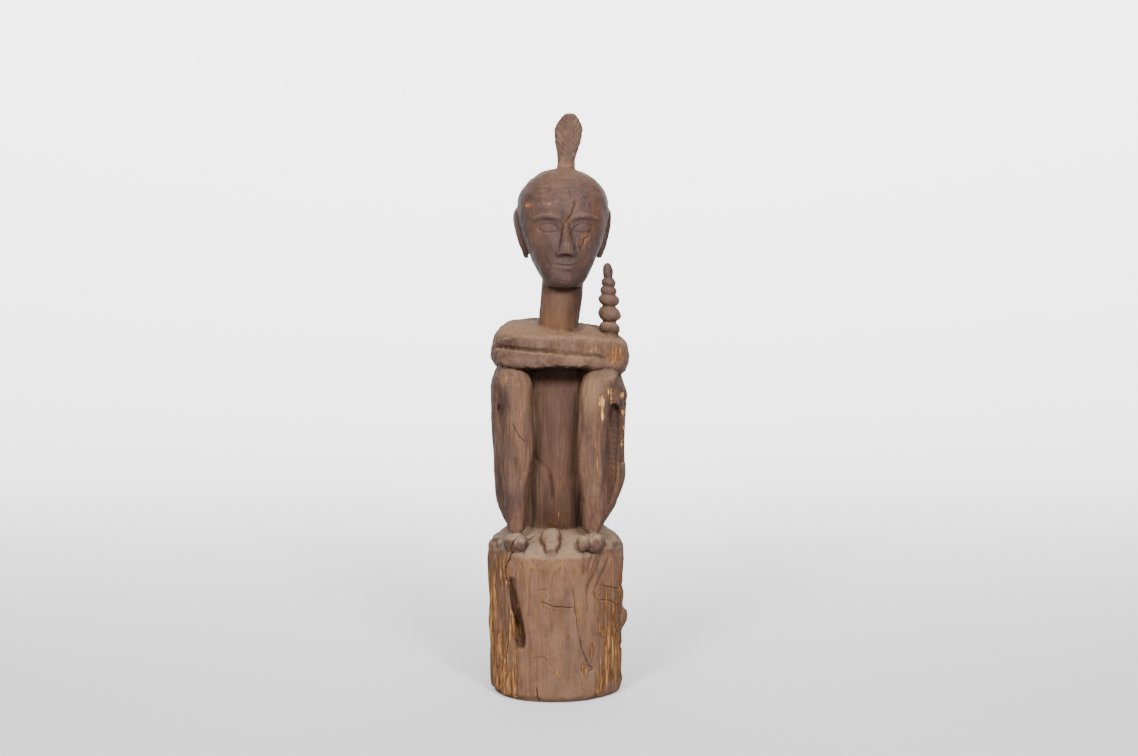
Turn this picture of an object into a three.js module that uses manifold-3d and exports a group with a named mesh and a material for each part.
// Seated male figure on a log base, carved from one trunk of hardwood.
// Millimetres, +Z up. The origin is the middle of the flat underside of the log; the figure faces -Y,
// so +X is at the viewer's right.
import * as THREE from "three";
import { mergeVertices } from "three/addons/utils/BufferGeometryUtils.js";
import Module from "manifold-3d";

const wasm = await Module();
wasm.setup();

// Driving dimensions
const HEIGHT = 786;
const LOG_RADIUS = 91;
const LOG_TOP = 229;
const RIM_DROP = 34;
const SHOULDER_TOP = 502;
const SHOULDER_TILT = 0.075;
const CHIN = 555;
const CROWN = 713;
const HEAD_SHIFT = 10;
const HEAD_TURN = THREE.MathUtils.degToRad(4);

// How many flats go round each kind of form
const SIDES = { log: 40, body: 32, head: 28, limb: 12, small: 10 };

// A smooth curve through the rows of a small list, one number per field, read at t from 0 to 1
function through(rows, t) {
  const last = rows.length - 1;
  const at = Math.min(t * last, last - 1e-9);
  const i = Math.floor(at);
  const f = at - i;
  const [a, b, c, d] = [i - 1, i, i + 1, i + 2].map((k) => rows[THREE.MathUtils.clamp(k, 0, last)]);
  return b.map(
    (_, k) =>
      0.5 * (2 * b[k] + (c[k] - a[k]) * f + (2 * a[k] - 5 * b[k] + 4 * c[k] - d[k]) * f * f) +
      0.5 * (3 * b[k] - a[k] - 3 * c[k] + d[k]) * f * f * f,
  );
}

// A point of a superellipse: power 2 is an ellipse, and more is squarer
function squircle(angle, halfX, halfY, power) {
  const bend = (v) => Math.sign(v) * Math.abs(v) ** (2 / power);
  return [halfX * bend(Math.cos(angle)), halfY * bend(Math.sin(angle))];
}

const ring = (sides, point) => Array.from({ length: sides }, (_, i) => point((2 * Math.PI * i) / sides));

// A closed skin over rings of points, which run anticlockwise seen from the last ring
function skin(rings) {
  const around = rings[0].length;
  const middle = (r) => r.reduce((sum, p) => sum.add(p), new THREE.Vector3()).divideScalar(r.length);
  const points = [...rings.flat(), middle(rings[0]), middle(rings.at(-1))];
  const index = [];
  for (let i = 0; i < rings.length - 1; i++)
    for (let j = 0; j < around; j++) {
      const [a, b] = [i * around + j, i * around + ((j + 1) % around)];
      index.push(a, b, b + around, a, b + around, a + around);
    }
  const [low, high, top] = [points.length - 2, points.length - 1, (rings.length - 1) * around];
  for (let j = 0; j < around; j++) {
    const k = (j + 1) % around;
    index.push(low, k, j, high, top + j, top + k);
  }
  const geometry = new THREE.BufferGeometry().setFromPoints(points);
  return geometry.setIndex(index);
}

// Levels of [z, left, right, front, back], each a squarish ring, from the lowest to the highest
function column(levels, steps, sides, power) {
  const rings = [];
  for (let s = 0; s <= steps; s++) {
    const [z, left, right, front, back] = through(levels, s / steps);
    rings.push(
      ring(sides, (angle) => {
        const [x, y] = squircle(angle, (right - left) / 2, (back - front) / 2, power);
        return new THREE.Vector3((left + right) / 2 + x, (front + back) / 2 + y, z);
      }),
    );
  }
  return skin(rings);
}

// Stations of [x, y, z, half across, half high]: an oval carried along the smooth line through them
function limb(stations, steps, sides, power = 2.2) {
  const place = (t) => new THREE.Vector3(...through(stations, t));
  const rings = [];
  for (let s = 0; s <= steps; s++) {
    const t = s / steps;
    const along = place(Math.min(t + 0.01, 1)).sub(place(Math.max(t - 0.01, 0))).normalize();
    const up = new THREE.Vector3(0, 0, 1).addScaledVector(along, -along.z).normalize();
    const across = new THREE.Vector3().crossVectors(up, along);
    const [, , , halfAcross, halfHigh] = through(stations, t);
    rings.push(
      ring(sides, (angle) => {
        const [a, h] = squircle(angle, halfAcross, halfHigh, power);
        return place(t).addScaledVector(across, a).addScaledVector(up, h);
      }),
    );
  }
  return skin(rings);
}

// Level ovals on the smooth line through stations of [x, y, z, halfX, halfY], highest first
function hanging(stations, steps) {
  const rings = [];
  for (let s = steps; s >= 0; s--) {
    const [x, y, z, halfX, halfY] = through(stations, s / steps);
    const point = (a) => new THREE.Vector3(x + halfX * Math.cos(a), y + halfY * Math.sin(a), z);
    rings.push(ring(SIDES.small, point));
  }
  return skin(rings);
}

// An egg of the given half sizes, turned about Z and then put in its place
function egg([x, y, z], [halfX, halfY, halfZ], turn = 0, sides = SIDES.small) {
  return new THREE.SphereGeometry(1, sides, Math.round(sides * 0.6))
    .rotateX(Math.PI / 2)
    .scale(halfX, halfY, halfZ)
    .rotateZ(turn)
    .translate(x, y, z);
}

// A geometry as a solid that can be joined and cut
function solid(geometry) {
  for (const name of ["normal", "uv"]) geometry.deleteAttribute(name);
  const merged = mergeVertices(geometry, 1e-3);
  const found = merged.index.array;
  const kept = [];
  for (let i = 0; i < found.length; i += 3) {
    const [a, b, c] = [found[i], found[i + 1], found[i + 2]];
    if (a !== b && b !== c && c !== a) kept.push(a, b, c);
  }
  return new wasm.Manifold(
    new wasm.Mesh({
      numProp: 3,
      vertProperties: new Float32Array(merged.attributes.position.array),
      triVerts: new Uint32Array(kept),
    }),
  );
}

const joined = (geometries) => geometries.map(solid).reduce((all, next) => all.add(next));

// The log: a rough round, flat below, with a worn rim; the front of its top slopes down and is hewn flatter
function log() {
  const levels = [
    [0, 0.93, 0, 0],
    [7, 0.99, 0, 0],
    [60, 0.985, 0, 0.005],
    [130, 0.995, 0, 0.02],
    [LOG_TOP - 46, 1.015, 3, 0.05],
    [LOG_TOP - RIM_DROP + 4, 1.0, 6, 0.07],
    [LOG_TOP - 17, 0.93, 10, 0.07],
    [LOG_TOP - 7, 0.79, 11, 0.06],
    [LOG_TOP - 2, 0.55, 9, 0.05],
    [LOG_TOP, 0.2, 2, 0],
  ];
  const hewn = (angle) => 1 + 0.012 * Math.cos(3 * angle + 0.6) + 0.009 * Math.cos(7 * angle + 2);
  return skin(
    levels.map(([z, share, drop, flat]) =>
      ring(SIDES.log, (angle) => {
        const front = Math.max(0, -Math.sin(angle)) ** 2;
        const radius = LOG_RADIUS * share * hewn(angle) * (1 - flat * front);
        return new THREE.Vector3(radius * Math.cos(angle), radius * Math.sin(angle), z - drop * front);
      }),
    ),
  );
}

// A broken branch stub and two lumps on the log's right side
const logLumps = () => [
  egg([88, -14, 102], [11, 14, 14]),
  egg([83, -10, 43], [8.5, 16, 9]),
  egg([84, -6, 16], [8, 20, 14]),
];

// The long open shake in the log's front, leaning with the grain
const shake = () =>
  hanging(
    [
      [-58, -82, 165, 3.8, 20],
      [-58, -81, 151, 5.6, 26],
      [-54.5, -80, 128, 6.2, 27],
      [-50.5, -81, 106, 7.2, 27],
      [-47.5, -82, 84, 7, 25],
      [-47, -83, 72, 4.2, 20],
    ],
    8,
  );

// Hips, thighs and back as one mass, which keeps the round of the trunk
function haunches() {
  const levels = [
    [216, -63, 60, -18, 56],
    [236, -71, 72, -20, 68],
    [262, -80, 84, -22, 76],
    [290, -83, 95, -24, 80],
    [330, -83, 94, -25, 80],
    [374, -86, 95, -27, 78],
    [408, -88, 96, -31, 75],
    [426, -87, 92, -34, 73],
    [442, -80, 85, -36, 71],
  ];
  return column(levels, 10, SIDES.body, 2.5);
}

// Belly, chest and upper back, which stand back between the shins
function torso() {
  const levels = [
    [222, -44, 46, -30, 54],
    [262, -46, 49, -34, 68],
    [330, -48, 52, -38, 72],
    [400, -50, 56, -38, 70],
    [470, -60, 68, -36, 72],
    [492, -52, 60, -28, 66],
    [SHOULDER_TOP - 4, -32, 42, -16, 54],
  ];
  return column(levels, 6, 20, 2.1);
}

// The upper back, which runs from the haunches into the shoulders without a step
function back() {
  const levels = [
    [330, -46, 50, 10, 75],
    [390, -58, 62, 10, 78],
    [440, -64, 69, 10, 78.5],
    [474, -62, 64, 10, 76],
    [494, -46, 46, 5, 66],
  ];
  return column(levels, 5, 20, 2.8);
}

// The shin and calf of one leg, from the knee under the arm to the ankle; side is -1 at the viewer's left
function shin(side) {
  const levels = [
    [229, -53, 49, 12, -52, 14],
    [262, -53, 49.5, 14.5, -52, 18],
    [296, -52.8, 48.8, 18.5, -53, 21],
    [346, -49.3, 47.5, 20, -54, 23],
    [390, -50, 50, 20.5, -54, 25],
    [418, -54, 55.5, 23, -53, 27],
    [436, -57, 61, 23.5, -50, 27],
    [450, -58, 62, 16, -46, 20],
  ];
  const rows = levels.map(([z, left, right, halfX, y, halfY]) => {
    const x = side < 0 ? left : right;
    return [z, x - halfX, x + halfX, y - halfY, y + halfY];
  });
  return column(rows, 10, 14, 2.5);
}

// One thigh, which stands beside the shin and joins it at the broad knee
function thigh(side) {
  const levels = [
    [230, 42, 67, 64, -32, 20],
    [262, 50, 79.5, 83, -40, 24],
    [296, 54, 82.5, 94, -44, 28],
    [340, 56, 84, 93.5, -47, 30],
    [385, 56, 87, 95.5, -52, 30],
    [410, 48, 87.5, 95.5, -62, 30],
    [427, 42, 86, 90, -67, 28],
    [443, 46, 77, 80, -60, 22],
  ];
  const rows = levels.map(([z, inner, left, right, front, back]) =>
    side < 0 ? [z, -left, -inner, front, back] : [z, inner, right, front, back],
  );
  return column(rows, 8, 16, 2.5);
}

// One foot, flat on the falling rim, with its toes as round knobs
function foot(side) {
  const [x, ...knobs] = side < 0 ? [-52, [-46.5, -72, 214.5]] : [50, [37, -75, 216.5], [54.5, -71, 217]];
  return [
    egg([x, -58, 214], [16, 22, 13], 0, 12),
    ...knobs.map((place) => egg(place, [8.8, 8.5, 9.6])),
  ];
}

// The plain ringed knob that lies over the front of the seat and marks the figure as male
const knob = () => [
  limb(
    [
      [-6.5, -34, 219, 11, 8],
      [-6, -46, 220, 13, 11],
      [-6, -62, 217.5, 13.4, 12.2],
      [-6, -74, 210, 10.5, 10.5],
      [-6, -82, 204.5, 6.5, 6.5],
    ],
    6,
    SIDES.small,
  ),
];

// The hollow between shin and thigh, arched at the top and fading downwards; the viewer's right is wider
function legGap(side) {
  const levels = [
    [240, 64, 1, 66, 1.5, -37],
    [275, 70, 1.5, 73.5, 4.5, -36],
    [315, 73, 2, 77, 8, -37],
    [350, 74.5, 3, 77, 9.2, -38],
    [382, 75.5, 3.4, 77.5, 9.3, -38.5],
    [394, 75.5, 2.8, 79, 7.2, -41],
    [401, 76, 1, 79, 3, -48],
  ];
  const rows = levels.map(([z, left, halfLeft, right, halfRight, back]) => {
    const [x, half] = side < 0 ? [-left, halfLeft] : [right, halfRight];
    return [z, x - half, x + half, -90, side < 0 ? Math.min(back, -41) : back];
  });
  return column(rows, 9, 12, 2.4);
}

// The cleft of the belly and the furrow down the back
const furrows = () => [
  egg([-5, -38, 277], [1.8, 6, 13]),
  egg([0, 78, 400], [5, 9, 78]),
];

// Shoulders and upper arms as one thick horseshoe over the knees, hollowed below between the knees
function shoulders() {
  const levels = [
    [433, -66, 74, -36, 62],
    [438, -79, 86, -50, 69],
    [448, -87, 95, -57, 72],
    [462, -87.5, 98.5, -60, 73],
    [476, -84, 98.5, -60, 72],
    [488, -77, 95, -56, 69],
    [498, -62, 78, -44, 62],
    [SHOULDER_TOP - 2, -44, 48, -30, 50],
    [SHOULDER_TOP, -30, 20, -18, 40],
  ];
  const geometry = column(levels, 10, SIDES.body, 2.7);
  const place = geometry.getAttribute("position");
  for (let i = 0; i < place.count; i++) {
    const [x, y, z] = [place.getX(i), place.getY(i), place.getZ(i)];
    const high = THREE.MathUtils.smoothstep(z, 470, SHOULDER_TOP);
    const between = 1 - THREE.MathUtils.smoothstep(Math.abs(x - 4), 30, 48);
    const fore = 1 - THREE.MathUtils.smoothstep(y, -30, -8);
    const low = 1 - THREE.MathUtils.smoothstep(z, 433, 464);
    const lift = 17 * between * fore * low + 0.09 * high * (y - 20);
    place.setZ(i, z + lift - (SHOULDER_TILT + 0.03 * high) * x);
  }
  return geometry;
}

// The forearm of the viewer's right arm, which lies over the other
const upperForearm = () =>
  limb(
    [
      [80, -14, 462, 17, 22],
      [79, -42, 462, 17, 21],
      [62, -62, 473, 15, 17],
      [30, -68, 479, 15, 13],
      [-12, -70, 482, 14, 11.5],
      [-46, -68, 484, 13, 9.5],
      [-67, -58, 484, 9, 5],
    ],
    11,
    SIDES.limb,
    3.1,
  );

// The forearm of the viewer's left arm, whose hand ends under the other elbow
const lowerForearm = () =>
  limb(
    [
      [-76, -42, 465, 9, 10],
      [-66, -58, 465, 14, 13.5],
      [-44, -68, 464, 17, 14],
      [-5, -72, 462.5, 17, 12.5],
      [35, -71, 460.5, 16, 11],
      [64, -64, 457, 12, 8],
      [84, -54, 450, 6, 3],
    ],
    11,
    SIDES.limb,
    2.8,
  );

// The neck, a plain round post that leans to the viewer's right
function neck() {
  const levels = [
    [476, 1.5, 30, -28, 32],
    [505, 4, 27.5, -25, 30],
    [549, 8.7, 28, -24, 29],
    [600, 10, 27, -22, 29],
  ];
  return column(
    levels.map(([z, x, half, front, back]) => [z, x - half, x + half, front, back]),
    4,
    24,
    2.1,
  );
}

// The skull and jaw: a plain oval head that narrows to the chin
function head() {
  const tall = CROWN - CHIN;
  const shares = [
    [0, 22, -44, 2],
    [0.045, 28, -52, 10],
    [0.15, 37, -57, 24],
    [0.3, 48, -58, 40],
    [0.46, 57, -58, 54],
    [0.62, 61.5, -58, 60],
    [0.76, 59, -53, 58],
    [0.87, 48, -42, 47],
    [0.95, 32, -28, 32],
    [1, 8, -8, 10],
  ];
  return column(
    shares.map(([share, half, front, back]) => [CHIN + share * tall, -half, half, front, back]),
    11,
    SIDES.head,
    2.15,
  );
}

// Brow, eyes, nose and mouth on the usual thirds of a face, in plain carved forms
function face() {
  const tall = CROWN - CHIN;
  const level = (share) => CHIN + share * tall;
  const nose = limb(
    [
      [0, -54, level(0.58), 5, 4],
      [0, -59, level(0.48), 6, 6],
      [0, -63, level(0.38), 8.5, 7],
      [0, -64, level(0.29), 10.5, 6],
    ],
    6,
    SIDES.small,
  );
  const pairs = [-1, 1].flatMap((side) => [
    egg([side * 24, -50, level(0.5)], [13, 8, 5.5], side * 0.32),
    limb(
      [
        [side * 6, -56, level(0.575), 4, 3.5],
        [side * 23, -54, level(0.6), 5, 4],
        [side * 43, -42, level(0.57), 4, 3],
      ],
      6,
      SIDES.small,
    ),
  ]);
  const lips = [0.2, 0.165].map((share) => egg([0, -55, level(share)], [15, 5, 3.2]));
  return [nose, ...pairs, ...lips];
}

// A flat ear with a long lobe, standing a little off the side of the head
const ear = (side) =>
  hanging(
    [
      [side * 56, 6, 662, 5, 3],
      [side * 62, 8, 649, 5, 13],
      [side * 60, 7, 628, 5, 13],
      [side * 54, 4, 608, 4.5, 9],
      [side * 49, 1, 592, 3, 5],
    ],
    7,
  );

// The leaf on the crown: a flat blade on a short stem, whose top is cut across
function crest() {
  const levels = [
    [-7, 12.8, 8],
    [4, 12, 7.5],
    [11, 12, 7],
    [19, 13.6, 6.5],
    [28, 15.8, 6],
    [38, 18.1, 5.5],
    [47, 19.2, 5],
    [54, 18.4, 4.5],
    [64, 13.5, 4],
    [70, 9, 3.5],
    [HEIGHT - CROWN, 4.5, 3],
  ];
  const rings = [];
  for (let s = 0; s <= 12; s++) {
    const [up, halfX, halfY] = through(levels, s / 12);
    rings.push(
      ring(14, (a) => {
        const [dx, dy] = squircle(a, halfX, halfY, 1.9);
        return new THREE.Vector3(14 + 0.07 * up + dx, dy + 1, CROWN + up);
      }),
    );
  }
  return skin(rings);
}

// The finial on the viewer's right shoulder: knobs of [z, radius, half below, half above, neck below],
// each half an oval that swells from its neck, and growing smaller upwards
function finial() {
  const foot = 486;
  const knobs = [
    [12.5, 13.6, 7.5, 7, 9],
    [28.8, 15.2, 8.3, 12, 7.2],
    [49.5, 14.2, 7.5, 7, 7.2],
    [62, 10.9, 5.5, 5.5, 6.8],
    [73, 9.4, 5.5, 6, 6.4],
    [87.5, 7, 8, 12.5, 5.4],
  ];
  const profile = [new THREE.Vector2(0, -8), new THREE.Vector2(12, -8)];
  knobs.forEach(([z, radius, below, above, neck], i) => {
    const next = knobs[i + 1]?.[4] ?? 1.5;
    for (const degrees of [-76, -30, 30, 76]) {
      const turn = THREE.MathUtils.degToRad(degrees);
      const [half, root] = degrees < 0 ? [below, neck] : [above, next];
      profile.push(new THREE.Vector2(root + (radius - root) * Math.cos(turn), z + half * Math.sin(turn)));
    }
  });
  profile.push(new THREE.Vector2(0, 100.5));
  return new THREE.LatheGeometry(profile, 11)
    .rotateX(Math.PI / 2)
    .rotateY(THREE.MathUtils.degToRad(-2.2))
    .translate(74, -4, foot);
}

// The head is carved straight and turned a little on the neck
function turnedHead() {
  const parts = [head(), ear(-1), ear(1), ...face()];
  return joined(parts.map((part) => part.rotateZ(HEAD_TURN).translate(HEAD_SHIFT, 0, 0)));
}

function figure() {
  const body = joined([
    log(),
    ...logLumps(),
    haunches(),
    torso(),
    back(),
    ...[-1, 1].flatMap((side) => [shin(side), thigh(side), ...foot(side)]),
    ...knob(),
  ]);
  const gaps = joined([legGap(-1), legGap(1), shake(), ...furrows()]);
  const arms = joined([shoulders(), upperForearm(), lowerForearm(), neck(), finial(), crest()]);
  return body.subtract(gaps).add(arms).add(turnedHead());
}

// The finished solid as a mesh that can be shown
function shown(made, name, material) {
  const mesh = made.getMesh();
  const geometry = new THREE.BufferGeometry()
    .setAttribute("position", new THREE.BufferAttribute(new Float32Array(mesh.vertProperties), 3))
    .setIndex(new THREE.BufferAttribute(new Uint32Array(mesh.triVerts), 1));
  geometry.computeVertexNormals();
  const object = new THREE.Mesh(geometry, material);
  object.name = name;
  return object;
}

const wood = new THREE.MeshStandardMaterial({ color: 0x7b5a48, roughness: 0.8, metalness: 0 });

const group = new THREE.Group();
group.add(shown(figure(), "seated_figure", wood));

export default group;
